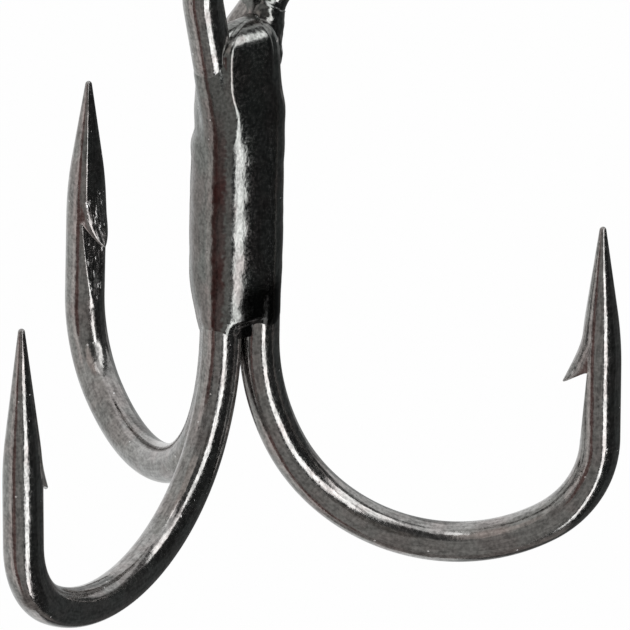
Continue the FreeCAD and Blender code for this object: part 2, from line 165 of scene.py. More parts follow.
class BrazeSizes(bpy.types.PropertyGroup):
    """The brazing metal round the shanks; heights are above the start of the bends."""

    radius: length("Radius", 1.60, "Radius of the braze round the three shanks")
    shift_out: length("Shift out", -0.04, "Its axis from the shank axis, towards the single hook")
    shift_side: length("Shift side", 0.06, "Its axis from the shank axis, sideways")
    bottom: length("Bottom", 0.25, "Lower end of the braze")
    bottom_taper: length("Bottom taper", 2.2, "Length over which its lower end thins out")
    bottom_radius: length("Bottom radius", 1.10, "Its radius at its lower end")
    near_flat: length("Near side", 1.27, "Side between the single and the first hook, from the shank axis")
    near_angle: angle("Near angle", -47.4, "Direction that this side faces")
    near_bulge: length("Near bulge", 2.7, "Radius of this side")
    bulge_start: length("Bulge start", 7.2, "Height at which this side starts to lose its bulge")
    bulge_end: length("Bulge end", 9.2, "Height at which it has lost it")
    near_start: length("Near start", 8.0, "Height at which this side starts to turn into the cap's")
    near_end: length("Near end", 10.6, "Height at which it has turned into it")
    near_top: length("Near side at the cap", 1.170, "Distance of this side from the shank axis at the cap")
    near_top_angle: angle("Near angle at the cap", -50.5, "Direction that it faces at the cap")
    near_top_bulge: length("Near bulge at the cap", 30.0, "Its radius at the cap")
    far_flat: length("Far flat", 1.20, "Flat between the single and the second hook, from the shank axis")
    far_angle: angle("Far angle", 60.0, "Direction that this flat faces")
    edge: length("Edge", 0.10, "Rounding of the edges of the flats")
    step_height: length("Step", 7.45, "Height of a step in the groove of the double wire")
    step_depth: length("Step depth", 0.11, "Depth of that step")
    step_fade: length("Step fade", 0.3, "Half of its length")
    groove_start: length("Groove start", 9.8, "Height at which the metal in that groove starts to end")
    groove_end: length("Groove end", 11.1, "Height at which it has ended")
    cap_start: length("Cap start", 8.5, "Height at which the braze narrows towards the single hook")
    cap_full: length("Cap full", 10.2, "Height at which it has narrowed")
    cap_radius: length("Cap radius", 0.94, "Radius over the end of the single hook")
    cap_shift: length("Cap shift", -0.27, "Centre of the cap from the end of the single hook")
    cap_cover: length("Cap cover", 0.80, "Thickness above that end")
    cap_dome: length("Cap dome", 1.0, "Height of the rounding of the cap")
    cap_bridge: length("Cap bridge", 0.80, "How much further the cap reaches towards the first strand")
    cap_groove: length("Cap groove", 0.88, "How much further it reaches into the groove")
    film: length("Film", 0.03, "Thickness over the outside of the double wire")
    single_film: length("Single film", 0.009, "Thickness over the outside of the single wire")
    first_film_end: length("First film", 10.5, "Height at which the film on the first strand ends")
    second_film_end: length("Second film", 9.3, "Height at which the film on the second strand ends")
    single_film_drop: length("Single film drop", 0.1, "End of the film below the end of the single wire")
    film_fade: length("Film fade", 0.4, "Half of the length over which a film ends")
    film_foot: length("Film foot", 0.7, "Length over which the films start at the lower end")
    film_dip: length("Film dip", 0.12, "How far under the surface of its wire a film ends")
    fillet: length("Fillet", 0.10, "Hollow where the braze runs out on a wire")
    web_height: length("Web height", 9.6, "Start of the web between the single and the second hook")
    web_start: length("Web start", 0.66, "Radius of the web there")
    web_reach: length("Web reach", 2.2, "How far it follows the second strand above its bend")
    web_radius: length("Web radius", 0.80, "Radius of the web round that strand")
    web_end: length("Web end", 0.9, "Length over which the web thins out on that strand")
    web_sink: length("Web sink", 0.05, "How far its end lies below the surface of that strand")


class FinishColours(bpy.types.PropertyGroup):
    """The black nickel plating, the marks on it, and a warm and a dark reflection painted on the braze."""

    plating: colour("Plating", (0.300, 0.297, 0.290), "Reflection of the plating")
    plating_warm: colour("Warm plating", (0.300, 0.282, 0.275), "Reddish clouds in the plating")
    speck: colour("Speck", (0.85, 0.85, 0.85), "Small bright specks")
    braze: colour("Braze", (0.222, 0.227, 0.219), "Reflection of the plated braze")
    braze_warm: colour("Warm braze", (0.218, 0.203, 0.197), "Reddish clouds on the braze")
    # Colour of a painted warm reflection: a red-brown band painted down the front of the braze.
    painted_warm_reflection: colour("Heat stain", (0.105, 0.048, 0.045), "Red-brown stain down the braze")
    # Colour of a painted dark reflection: near-black painted at the braze's downward-facing foot.
    painted_dark_reflection: colour("Flux", (0.010, 0.010, 0.010), "Dark flux left at the lower end of the braze")


class FinishSizes(bpy.types.PropertyGroup):
    """The patterns of the plating: how large they are and how far they stand out."""

    cloud: length("Cloud", 1.1, "Size of the reddish clouds on the wire")
    braze_cloud: length("Braze cloud", 0.9, "Size of the reddish clouds on the braze")
    grain: length("Grain", 0.11, "Size of the fine mottling")
    grain_height: length("Grain height", 0.0007, "Height of the mottling and the streaks on the wire")
    braze_grain_height: length("Braze grain height", 0.0008, "Height of the mottling on the braze")
    streak: length("Streak", 0.08, "Width of the streaks that drawing leaves on the wire")
    stain_and_painted_reflection: length("Stain", 0.34, "Size of the stains on the wire")
    braze_stain: length("Braze stain", 0.40, "Size of the stains on the braze")
    scuff: length("Scuff", 0.16, "Size of the scuffs where a barb was lifted")
    scuff_height: length("Scuff height", 0.012, "Height of those scuffs")
    swell: length("Swell", 0.8, "Size of the slow waves in the wire")
    swell_height: length("Swell height", 0.022, "Height of those waves")
    dent: length("Dent", 0.16, "Size of the dents in the wire")
    dent_height: length("Dent height", 0.005, "Depth of those dents")
    ridge: length("Ridge", 0.10, "Width of the ridges down the braze")
    ridge_height: length("Ridge height", 0.0046, "Height of those ridges")
    speck_gap: length("Speck gap", 0.38, "Space between bright specks on the wire")
    speck_radius: length("Speck radius", 0.044, "Radius of those specks")
    braze_speck_gap: length("Braze speck gap", 0.48, "Space between bright specks on the braze")
    braze_speck_radius: length("Braze speck radius", 0.040, "Radius of those specks")
    speck_height: length("Speck height", 0.006, "Height of a speck")
    pit_gap: length("Pit gap", 0.32, "Space between pits in the wire")
    pit_radius: length("Pit radius", 0.050, "Radius of those pits")
    pit_depth: length("Pit depth", 0.004, "Depth of those pits")
    # These two set how far the edges of the painted warm reflection and the painted dark reflection wander.
    ragged: length("Ragged", 0.5, "How far the edges of the flux and the heat stain wander")
    ragged_size: length("Ragged size", 0.22, "Size of the notches in those edges")


class StudioSizes(bpy.types.PropertyGroup):
    """The camera and the light round the hook."""

    azimuth: angle("Azimuth", 4.53, "Direction in which the camera looks, from +Y towards -X")
    elevation: angle("Elevation", 24.07, "How far the camera looks down")
    roll: angle("Roll", 0.977, "Turn of the camera about its own line of sight")
    distance: length("Distance", 572.2, "Camera to the start of the bends")
    view_width: length("View width", 21.694, "Width of the view at that distance")
    aim_right: length("Aim right", 2.731, "Middle of the view to the right of the shanks")
    aim_up: length("Aim up", 0.733, "Middle of the view above the start of the bends")
    floor_drop: length("Floor", 460.0, "Floor below the eye of the hanging hook")
    floor_radius: length("Floor radius", 6000.0, "Radius of the floor")
    floor_white: share("Floor white", 0.85, "How much of the floor's white doesn't depend on light")
    tent_radius: length("Tent", 300.0, "Radius of the light tent")


def sizes(group):
    """A property group of the scene, by its name."""
    return getattr(bpy.context.scene, group)


# ---------------------------------------------------------------- lines of the wires


def unit(vector):
    """A vector, or each row of an array of vectors, at length 1."""
    return vector / np.linalg.norm(vector, axis=-1, keepdims=True)


def turned(turn, vector):
    """A vector turned about +Z, by an angle in radians."""
    c, s = math.cos(turn), math.sin(turn)
    x, y, z = vector
    return np.array([c * x - s * y, s * x + c * y, z])


def between(before, here, after):
    """The angle by which a line turns at a corner."""
    return math.acos(min(1.0, float(unit(here - before) @ unit(after - here))))


def way_along(points):
    """How far along a line each of its points lies."""
    return np.concatenate([[0], np.cumsum(np.linalg.norm(np.diff(points, axis=0), axis=1))])


def rounded_line(corners, step):
    """Points and directions along straight runs joined by tangent arcs; each corner is a point and its
    radius. On an arc, a point is start + R sin(a) into + R (1 - cos a) inside."""
    points = []
    directions = []

    def straight(start, end, direction):
        """Adds the points of a run, without its end."""
        gap = np.linalg.norm(end - start)
        count = math.ceil(gap / step) if gap > LEAST_RUN else 0
        points.append(start + (end - start) * (np.arange(count)[:, None] / max(count, 1)))
        directions.append(np.repeat(direction[None], count, axis=0))

    here = corners[0][0]
    for (before, _), (corner, radius), (after, _) in zip(corners, corners[1:], corners[2:]):
        into = unit(corner - before)
        out = unit(after - corner)
        turn = between(before, corner, after)
        start = corner - into * radius * math.tan(turn / 2)
        inside = unit(out - into * (into @ out))
        straight(here, start, into)
        count = math.ceil(radius * turn / step)
        a = np.arange(count)[:, None] * turn / count
        points.append(start + radius * (np.sin(a) * into + (1 - np.cos(a)) * inside))
        directions.append(np.cos(a) * into + np.sin(a) * inside)
        here = corner + out * radius * math.tan(turn / 2)
    straight(here, corners[-1][0], out)
    points.append(corners[-1][0][None])
    directions.append(out[None])
    return np.concatenate(points), np.concatenate(directions)


def shank_foot(hook):
    """Where a hook's bend starts on its shank."""
    s = sizes("hook_wires")
    offset = np.array([getattr(s, f"{hook}_out"), getattr(s, f"{hook}_side"), 0.0])
    level = getattr(s, f"{hook}_rise") - s.eye_drop
    return turned(getattr(s, f"{hook}_angle"), offset) + level * UP


def bend_corners(hook):
    """Corners of a bend from below the shank to the end of the heel, in the part's frame."""
    s = sizes("hook_wires")
    turns = [s.shoulder_turn, s.belly_turn]
    turns.append(math.pi + getattr(s, f"{hook}_tilt") - sum(turns))
    radii = [s.shoulder_radius, s.belly_radius, getattr(s, f"{hook}_heel")]
    foot = shank_foot(hook)
    out = turned(getattr(s, f"{hook}_angle"), OUT)
    corners = []
    at = foot
    heading = 0.0
    setback_before = 0.0
    for radius, turn in zip(radii, turns):
        setback = radius * math.tan(turn / 2)
        at = at + (setback_before + setback) * (math.sin(heading) * out - math.cos(heading) * UP)
        corners.append((at, radius))
        heading += turn
        setback_before = setback
    corners.append((at + setback_before * (math.sin(heading) * out - math.cos(heading) * UP), None))
    return corners


def ring_corners():
    """Corners of the eye, from the first strand to the second, the direction of its plane and its step."""
    s = sizes("hook_wires")
    count = 3
    along = turned(s.eye_angle, OUT)
    start = math.pi + s.first_lean
    step = (math.pi + s.first_lean + s.second_lean) / count
    reach = s.eye_radius / math.cos(step / 2)
    angles = [start - step * (number + 0.5) for number in range(count)]
    corners = [reach * (math.cos(a) * along + math.sin(a) * UP) for a in angles]
    return corners, along, step


def strand_foot(hook, along):
    """Where a strand of the eye meets the axis of its shank."""
    s = sizes("hook_wires")
    side = -1 if hook == "first" else 1
    lean = getattr(s, f"{hook}_lean")
    shank = shank_foot(hook) * (1, 1, 0)
    spread = s.eye_radius * math.cos(lean) - side * (along @ shank)
    return shank - UP * (s.eye_radius * math.sin(lean) + spread / math.tan(lean))


def double_corners():
    """The double wire without its legs: first bend, first strand, eye, second strand, second bend."""
    s = sizes("hook_wires")
    ring, along, step = ring_corners()
    feet = [strand_foot("first", along), strand_foot("second", along)]
    line = [feet[0]] + ring + [feet[1]]
    middle = []
    for before, corner, after in zip(line, line[1:], line[2:]):
        half_turn = between(before, corner, after) / 2
        middle.append((corner, s.eye_radius * math.tan(step / 2) / math.tan(half_turn)))
    start = [(feet[0], s.first_strand_bend)]
    end = [(feet[1], s.second_strand_bend)]
    return bend_corners("first")[::-1] + start + middle + end + bend_corners("second")


def single_corners():
    """The single wire without its leg: its bend, its shank and the lean of the shank's end."""
    s = sizes("hook_wires")
    foot = shank_foot("single")
    lean = foot + UP * s.single_lean_height
    tilt = turned(s.single_angle, np.array([-s.single_lean_in, s.single_lean_side, s.single_length]))
    return bend_corners("single")[::-1] + [(lean, s.single_lean_bend), (foot + tilt, None)]


# ---------------------------------------------------------------- meshes

# Columns of a wire, the space between its rings on a bend or strand and on a leg, and the rings of a tip.
SIDES = 96
WIRE_STEP = 0.16 * MM
LEG_STEP = 0.055 * MM
TIP_ROWS = 7
# Rounding of the edges of a flattened side, as a part of the wire's radius.
FLAT_EDGE = 0.02
# Where the flattened side of the first hook starts and ends to fade, as parts of the double wire's length.
FIRST_FLAT_ENDS = (0.46, 0.50)
# The part of the shanks of the double wire along which its rings turn to the plane of the eye.
TWIST_SHARE = 0.6

# Rows of a leg that fold into its barb: the flat of the cut, the underside, the nose and the back.
FLAT_ROWS, UNDER_ROWS, NOSE_ROWS, BACK_ROWS = 14, 9, 4, 34
# A barb's blunt nose, as parts of its thickness: the end of its underside, its roundness, and the start
# of its back.
NOSE_FOOT, NOSE_ROUND, NOSE_TOP = 0.4, 0.8, 0.8
# How much a barb's back bows, and the power by which it falls away to its sides.
BACK_BOW = 0.28
SPREAD_POWER = 1.3
# A place counts as worked where the cut took off this much, or where w is above 1 / WORKED_EDGE.
TOOL_MARK = 0.02 * MM
WORKED_EDGE = 3


def around(count=SIDES):
    """Angles of the columns of a grid that closes on itself."""
    return np.arange(count) * (2 * math.pi / count)


def ring_quads(rows, columns):
    """The corners of the faces between the rings of a grid."""
    row, column = np.meshgrid(np.arange(rows - 1), np.arange(columns), indexing="ij")
    here = row * columns + column
    ahead = row * columns + (column + 1) % columns
    return np.stack([here, ahead, ahead + columns, here + columns], axis=-1).reshape(-1, 4)


def pole_fan(ring, pole):
    """The corners of the faces from a ring of points to a pole."""
    return np.stack([ring, np.roll(ring, -1), np.full(len(ring), pole)], axis=-1)


def closed_mesh(name, grid, start, end, values):
    """A mesh from a grid of rows, each a closed ring, and a pole at each end, with its faces outwards.
    values are point attributes: a grid of vectors or numbers with its values at the two poles."""
    rows, columns = grid.shape[:2]
    count = rows * columns
    points = np.concatenate([grid.reshape(-1, 3), [start, end]])
    quads = ring_quads(rows, columns)
    first_ring = np.arange(columns)
    last_ring = first_ring + count - columns
    fans = np.concatenate([pole_fan(first_ring, count)[:, ::-1], pole_fan(last_ring, count + 1)])
    a, b, c, d = (points[quads[:, corner]] for corner in range(4))
    if (a * (np.cross(b, c) + np.cross(c, d))).sum() < 0:
        quads, fans = quads[:, ::-1], fans[:, ::-1]
    mesh = bpy.data.meshes.new(name)
    mesh.from_pydata(points.tolist(), [], quads.tolist() + fans.tolist())
    for key, (field, at_start, at_end) in values.items():
        kind, slot, size = ("FLOAT_VECTOR", "vector", 3) if field.ndim == 3 else ("FLOAT", "value", 1)
        flat = np.concatenate([field.reshape(-1, size), np.reshape([at_start, at_end], (2, size))])
        attribute = mesh.attributes.new(key, kind, "POINT")
        attribute.data.foreach_set(slot, flat.astype(np.float32).ravel())
    mesh.validate()
    mesh.shade_smooth()
    return mesh


def open_mesh(name, grid, middle):
    """A flat mesh that faces up, from a grid of rings, each inside the next, with a pole in the middle."""
    rows, columns = grid.shape[:2]
    points = np.concatenate([grid.reshape(-1, 3), [middle]])
    quads = ring_quads(rows, columns)[:, ::-1]
    fan = pole_fan(np.arange(columns), rows * columns)
    mesh = bpy.data.meshes.new(name)
    mesh.from_pydata(points.tolist(), [], quads.tolist() + fan.tolist())
    return mesh


def rings(points, directions, sideways, radius, turns=0.0):
    """Rings round a line: point + R (cos(f) N + sin(f) B), with N = direction x sideways. turns is how far
    the columns of each ring are turned."""
    normal = unit(np.cross(directions, sideways))
    binormal = np.cross(normal, directions)
    f = (around()[None, :] + np.reshape(turns, (-1, 1)))[..., None]
    return points[:, None] + radius * (np.cos(f) * normal[:, None] + np.sin(f) * binormal[:, None])


def point_profile(hook):
    """Height above the base of the point, and radius: an arc out of the wire, a cone, a round tip."""
    s = sizes("hook_wires")
    wire = s.wire_dia / 2
    blend = s.point_blend_radius
    tip = s.point_tip_radius
    tall = getattr(s, f"{hook}_point")
    slant = math.asin((blend - tip) / math.hypot(blend - wire, tall - tip))
    slant -= math.atan2(blend - wire, tall - tip)
    arc_top = blend * math.sin(slant)
    cone_top = tall - tip + tip * math.sin(slant)
    straight = np.linspace(0, cone_top, math.ceil(cone_top / LEG_STEP))
    on_arc = wire - blend + np.sqrt(blend**2 - np.minimum(straight, arc_top) ** 2)
    cone_foot = wire - blend + blend * math.cos(slant)
    cone_head = tip * math.cos(slant)
    on_cone = cone_foot + (cone_head - cone_foot) * (straight - arc_top) / (cone_top - arc_top)
    radius = np.where(straight < arc_top, on_arc, on_cone)
    a = np.linspace(slant, math.pi / 2, TIP_ROWS + 1)[1:-1]
    heights = np.concatenate([straight, tall - tip + tip * np.sin(a)])
    return heights, np.concatenate([radius, tip * np.cos(a)])


def nearer(first, second, soft):
    """The smaller of two radii, rounded off by about soft where they cross."""
    return 0.5 * (first + second - np.sqrt((first - second) ** 2 + soft**2))


def joined(first, second, soft):
    """The larger of two radii, with a hollow of about soft where they cross."""
    return 0.5 * (first + second + np.sqrt((first - second) ** 2 + soft**2))


def smooth(low, high, value):
    """0 below low, 1 above high and a smooth step between."""
    t = np.clip((value - low) / (high - low), 0, 1)
    return t * t * (3 - 2 * t)


def flattened(toward, hook):
    """Radius of a wire with one flattened side, as a part of its own radius R, by the cosine u of the angle
    from that side: the smaller of 1 and sqrt(B^2 - c^2 (1 - u^2)) - c u, with the bulge B and c = B - R +
    depth, all over R."""
    s = sizes("hook_wires")
    wire = s.wire_dia / 2
    bulge = getattr(s, f"{hook}_flat_bulge") / wire
    c = bulge - 1 + getattr(s, f"{hook}_flat_depth") / wire
    side = np.sqrt(bulge**2 - c**2 * (1 - toward**2)) - c * toward
    return nearer(1.0, side, FLAT_EDGE)


def flat_direction(hook):
    """The direction that the flattened side of a hook faces."""
    return turned(getattr(sizes("hook_wires"), f"{hook}_flat_angle"), OUT)


def leg_axes(hook):
    """A leg's own directions: away from its shank, across its bend, and up the leg."""
    s = sizes("hook_wires")
    tilt = getattr(s, f"{hook}_tilt")
    out = turned(getattr(s, f"{hook}_angle"), OUT)
    side = np.cross(UP, out)
    return math.cos(tilt) * out + math.sin(tilt) * UP, side, math.cos(tilt) * UP - math.sin(tilt) * out


def barb_levels(hook):
    """Heights of a barb up its leg: its tip, the root of the cut that lifts it, and its start."""
    b = sizes("hook_barbs")
    tip = getattr(sizes("hook_wires"), f"{hook}_leg") - getattr(b, f"{hook}_drop")
    return tip, tip + getattr(b, f"{hook}_hook"), tip + b.run


def barb_fold(hook, z, radius):
    """The rows of a leg that fold into its barb, from below: the flat of the cut, the underside of the
    sliver, its nose and its back. Returns each row's height on the plain leg, and its height and its
    distance from the leg's axis on the middle of the sliver. The back bows outwards, as (1 + k) t - k t^4."""
    b = sizes("hook_barbs")
    wire = sizes("hook_wires").wire_dia / 2
    tip, root, start = barb_levels(hook)
    stand = wire + getattr(b, f"{hook}_stand")
    plain = np.concatenate([
        np.linspace(tip - b.slack, root - b.seam, FLAT_ROWS, endpoint=False),
        np.linspace(root - b.seam, root, UNDER_ROWS, endpoint=False),
        np.linspace(root, root + b.seam, NOSE_ROWS, endpoint=False),
        np.linspace(root + b.seam, start, BACK_ROWS),
    ])
    nose = np.linspace(0, math.pi, NOSE_ROWS, endpoint=False)
    sliver_z = np.concatenate([
        np.linspace(tip - b.slack, root, FLAT_ROWS, endpoint=False),
        np.linspace(root, tip + NOSE_FOOT * b.nose, UNDER_ROWS, endpoint=False),
        tip + 0.5 * b.nose * (1 - NOSE_ROUND * np.sin(nose)),
        np.linspace(tip + NOSE_TOP * b.nose, start, BACK_ROWS),
    ])
    t = np.linspace(0, 1, BACK_ROWS)
    surface = np.interp(start, z, radius)
    sliver_x = np.concatenate([
        np.full(FLAT_ROWS, wire - b.bite),
        np.linspace(wire - b.bite, stand - b.nose, UNDER_ROWS, endpoint=False),
        stand - 0.5 * b.nose * (1 + np.cos(nose)),
        stand + (surface - stand) * ((1 + BACK_BOW) * t - BACK_BOW * t**4),
    ])
    return plain, sliver_z, sliver_x


def leg_grid(hook):
    """A leg with its point and barb in local places: +Z up the leg, -X towards the shank, base at the end
    of the heel. A ring is (-R cos f, R sin f), with R smaller on the flattened side, which the second hook
    has only above its barb. Where the barb is, a row bends with the weight w(f): (1 - w) x its plain place
    + w x its place on the sliver, which runs out to the tip of the barb, back under it to the root of the
    cut, and down the flat. Returns the grid and how worked each place is, from 0 to 1."""
    s = sizes("hook_wires")
    b = sizes("hook_barbs")
    wire = s.wire_dia / 2
    base = getattr(s, f"{hook}_leg") - getattr(s, f"{hook}_point")
    heights, radii = point_profile(hook)
    below = np.arange(0, base, LEG_STEP)
    z = np.concatenate([below, heights + base])
    radius = np.concatenate([np.full(len(below), wire), radii])

    tip, root, _ = barb_levels(hook)
    plain, sliver_z, sliver_x = barb_fold(hook, z, radius)
    low, high = np.searchsorted(z, plain[[0, -1]])
    levels = np.concatenate([z[:low], plain, z[high:]])
    rows = np.arange(low, low + len(plain))

    f = around()
    f = np.where(f > math.pi, f - 2 * math.pi, f)
    cos_f, sin_f = np.cos(f), np.sin(f)
    turn = getattr(b, f"{hook}_turn")
    out, side, _ = leg_axes(hook)
    faces = flat_direction(hook)
    faces = turned(-turn, (faces @ out, faces @ side, 0.0))
    on = smooth(root, root + s.facet_fade, levels) if hook == "second" else np.ones(len(levels))
    flat = 1 + on[:, None] * (flattened(faces[1] * sin_f - faces[0] * cos_f, hook) - 1)
    plain_radius = np.interp(levels, z, radius)[:, None] * flat
    x = -plain_radius * cos_f
    y = plain_radius * sin_f
    height = np.repeat(levels[:, None], len(f), axis=1)

    w = np.clip(1 - np.abs(f / b.spread) ** SPREAD_POWER, 0, 1)
    folded = (1 - w) * plain[:, None] + w * sliver_z[:, None]
    folded_radius = np.interp(folded, z, radius) * flat[rows]
    on_sliver = (np.arange(len(plain)) >= FLAT_ROWS)[:, None]
    lift = (sliver_x - np.interp(sliver_z, z, radius))[:, None] * on_sliver
    height[rows] = folded
    x[rows] = -folded_radius * cos_f - lift * w
    y[rows] = folded_radius * sin_f

    # the flat of the cut, a plane from the root of the barb down to the surface of the leg
    cut_end = tip - b.cut_run
    floor = wire - b.bite * (height - cut_end) / (root - cut_end)
    below_root = np.arange(len(levels))[:, None] <= low + FLAT_ROWS
    cut = np.where(below_root & (height > cut_end), np.maximum(x, -floor), x)
    worked = np.clip((cut - x) / TOOL_MARK, 0, 1)
    worked[rows] = np.maximum(worked[rows], np.clip(WORKED_EDGE * w, 0, 1) * on_sliver)
    return np.moveaxis(turned(turn, (cut, y, height)), 0, -1), worked


def placed_leg(hook):
    """A leg's grid in the part's frame, and how worked each of its places is."""
    grid, worked = leg_grid(hook)
    base = bend_corners(hook)[-1][0]
    out, side, up = leg_axes(hook)
    placed = base + grid[..., :1] * out + grid[..., 1:2] * side + grid[..., 2:] * up
    return placed, worked


def other_way(grid):
    """A grid with its rows reversed and its columns mirrored, for a leg that the wire runs down."""
    return np.roll(grid[::-1, ::-1], 1, axis=1)


def tip_of(hook):
    """The very tip of a hook's point."""
    return bend_corners(hook)[-1][0] + leg_axes(hook)[2] * getattr(sizes("hook_wires"), f"{hook}_leg")


def straightened(grid, centre_line):
    """Places on the wire as if it were straight: (R cos f, R sin f, way along), in metres."""
    wire = sizes("hook_wires").wire_dia / 2
    places = np.empty(grid.shape)
    places[..., 0] = wire * np.cos(around())
    places[..., 1] = wire * np.sin(around())
    places[..., 2] = way_along(centre_line)[:, None]
    return places


def wire_mesh(name, parts, ends):
    """A wire from its grids, one after the other, with a pole at each end."""
    grid = np.concatenate([part for part, _ in parts])
    worked = np.concatenate([mask for _, mask in parts])
    unrolled = straightened(grid, grid.mean(axis=1))
    values = {
        STRAIGHTENED: (unrolled, unrolled[0].mean(axis=0), unrolled[-1].mean(axis=0)),
        WORKED: (worked, 0.0, 0.0),
    }
    return closed_mesh(name, grid, ends[0], ends[1], values)


def sideways_of(hook, sign):
    """The direction across a hook's bend."""
    return sign * turned(getattr(sizes("hook_wires"), f"{hook}_angle"), ACROSS)


def with_flat(grid, centre_line, hook, on):
    """Rings of a wire with a hook's flattened side; on is how much of it each ring has."""
    around_line = grid - centre_line[:, None]
    toward = around_line @ flat_direction(hook) / (sizes("hook_wires").wire_dia / 2)
    flat = 1 + on[:, None] * (flattened(toward, hook) - 1)
    return centre_line[:, None] + around_line * flat[..., None]


def double_wire_mesh():
    """The double wire: a leg, the line of the bends, strands and eye, and the other leg. Its rings turn on
    the way, from across the first bend to across the eye and to across the second bend, and at its ends
    by the turn of the barbs."""
    s = sizes("hook_wires")
    b = sizes("hook_barbs")
    points, directions = rounded_line(double_corners(), WIRE_STEP)
    way = way_along(points)
    heel_turn = math.pi - s.shoulder_turn - s.belly_turn
    bend = s.shoulder_radius * s.shoulder_turn + s.belly_radius * s.belly_turn + s.first_heel * heel_turn
    start = sideways_of("first", -1)
    end = sideways_of("second", 1)
    eye = turned(s.eye_angle, ACROSS)
    if eye @ start < 0:
        eye = -eye
    angles = np.unwrap([math.atan2(v[1], v[0]) for v in (start, eye, eye, end)])
    shank = TWIST_SHARE * s.eye_drop
    places = [bend, bend + shank, way[-1] - bend - shank, way[-1] - bend]
    facing = np.interp(way, places, angles)
    sideways = np.stack([np.cos(facing), np.sin(facing), np.zeros_like(facing)], axis=-1)
    heel = s.second_heel * heel_turn
    turns = b.first_turn * (1 - smooth(0, heel, way)) - b.second_turn * smooth(way[-1] - heel, way[-1], way)
    middle = rings(points, directions, sideways, s.wire_dia / 2, turns)
    on = 1 - smooth(*(part * way[-1] for part in FIRST_FLAT_ENDS), way)
    middle = with_flat(middle, points, "first", on)[1:-1]
    first_leg, first_worked = placed_leg("first")
    parts = [
        (other_way(first_leg), other_way(first_worked)),
        (middle, np.zeros(middle.shape[:2])),
        placed_leg("second"),
    ]
    return wire_mesh("double_hook_wire", parts, (tip_of("first"), tip_of("second")))


def single_wire_mesh():
    """The single wire: its leg, the line of its bend and shank, and its cut end."""
    s = sizes("hook_wires")
    points, directions = rounded_line(single_corners(), WIRE_STEP)
    leg, worked = placed_leg("single")
    sideways = np.repeat(sideways_of("single", -1)[None], len(points), axis=0)
    middle = rings(points, directions, sideways, s.wire_dia / 2)
    middle = with_flat(middle, points, "single", np.ones(len(points)))[1:]
    half_way_in = (middle[-1:] + points[-1]) / 2
    middle = np.concatenate([middle, half_way_in])
    parts = [(other_way(leg), other_way(worked)), (middle, np.zeros(middle.shape[:2]))]
    return wire_mesh("single_hook_wire", parts, (tip_of("single"), points[-1]))


# ---------------------------------------------------------------- braze

# Columns and rings of the braze, and the space between the rings of the web.
BRAZE_COLUMNS = 256
BRAZE_ROWS = 320
WEB_STEP = 0.06 * MM
# The part of the lower end's taper that lies below that end.
TAPER_BELOW = 0.5
# A flat that a ray meets at a cosine below this is taken as if it met it at this one.
LEAST_SLOPE = 0.1
# Cosines of the angle from the middle of the double wire's groove, at its edge and well inside it.
GROOVE_COSINES = (0.5, 0.85)
# Angles about the shanks, in radians, between which the cap's bridge to the first strand starts and ends.
BRIDGE_START = (-2.70, -2.00)
BRIDGE_END = (-1.05, -0.45)
# How much deeper the near side lies near its lower end, and the heights at which that is whole and gone,
# in millimetres.
NEAR_TAPERS = ((0.05, 1.3, 2.6), (0.30, 0.70, 1.10))
# Ripples: for each row, so many waves with their pitch times a number from PITCH_SPREAD.
WAVES_EACH = 4
PITCH_SPREAD = (0.6, 1.4)
BRAZE_WAVES = ((2, 5.0, 0.010), (6, 1.6, 0.005), (14, 0.7, 0.0015))
BRAZE_SEED = 7
WEB_WAVES = ((2, 3.0, 0.020), (5, 1.1, 0.013), (9, 0.6, 0.007), (16, 0.35, 0.004))
WEB_SEED = 11


def ripple(theta, height, waves, seed):
    """Seeded ripples over a turned surface: a sum of cos(m theta + k height + phase). A row of waves gives
    the largest m, and the pitch along the height and the depth in millimetres."""
    rng = np.random.default_rng(seed)
    total = np.zeros(np.broadcast(theta, height).shape)
    for turns, pitch, depth in waves:
        phase = rng.uniform(0, 2 * math.pi, WAVES_EACH)
        lean = rng.uniform(*PITCH_SPREAD, WAVES_EACH)
        for number in range(WAVES_EACH):
            m = rng.integers(0, turns + 1)
            sign = 1 if number % 2 else -1
            k = sign * 2 * math.pi / (pitch * MM) * lean[number]
            total = total + depth * MM / 2 * np.cos(m * theta + k * height + phase[number])
    return total


def wire_reach(centre, axis, theta, radius):
    """How far a ray from the axis reaches until it leaves a wire, or 0 where it misses."""
    off = centre - axis
    c, s = np.cos(theta), np.sin(theta)
    forward = off[:, :1] * c + off[:, 1:2] * s
    across = off[:, :1] * s - off[:, 1:2] * c
    inside = radius**2 - across**2
    return np.where(inside > 0, forward + np.sqrt(np.maximum(inside, 0)), 0)


def line_at(points, heights):
    """Places where a line that climbs passes the given heights."""
    order = np.argsort(points[:, 2])
    return np.stack([np.interp(heights, points[order, 2], points[order, k]) for k in (0, 1)], axis=-1)


def flat_reach(distance, facing, axis, theta):
    """How far a ray from the axis goes to a flat: d / cos(theta - facing), with d from the axis to the
    flat, which lies at a distance from the shank axis."""
    normal = np.array([math.cos(facing), math.sin(facing)])
    away = (distance - axis @ normal)[:, None]
    return away / np.maximum(np.cos(theta - facing), LEAST_SLOPE)


def braze_heights(top):
    """Heights of the braze's rings, which crowd together where the dome turns over."""
    b = sizes("hook_braze")
    height = np.linspace(b.bottom, top, BRAZE_ROWS + 2)[1:-1]
    foot = top - b.cap_dome
    up = (height - foot) / b.cap_dome
    return np.where(up > 0, foot + b.cap_dome * np.sin(up * math.pi / 2), height)


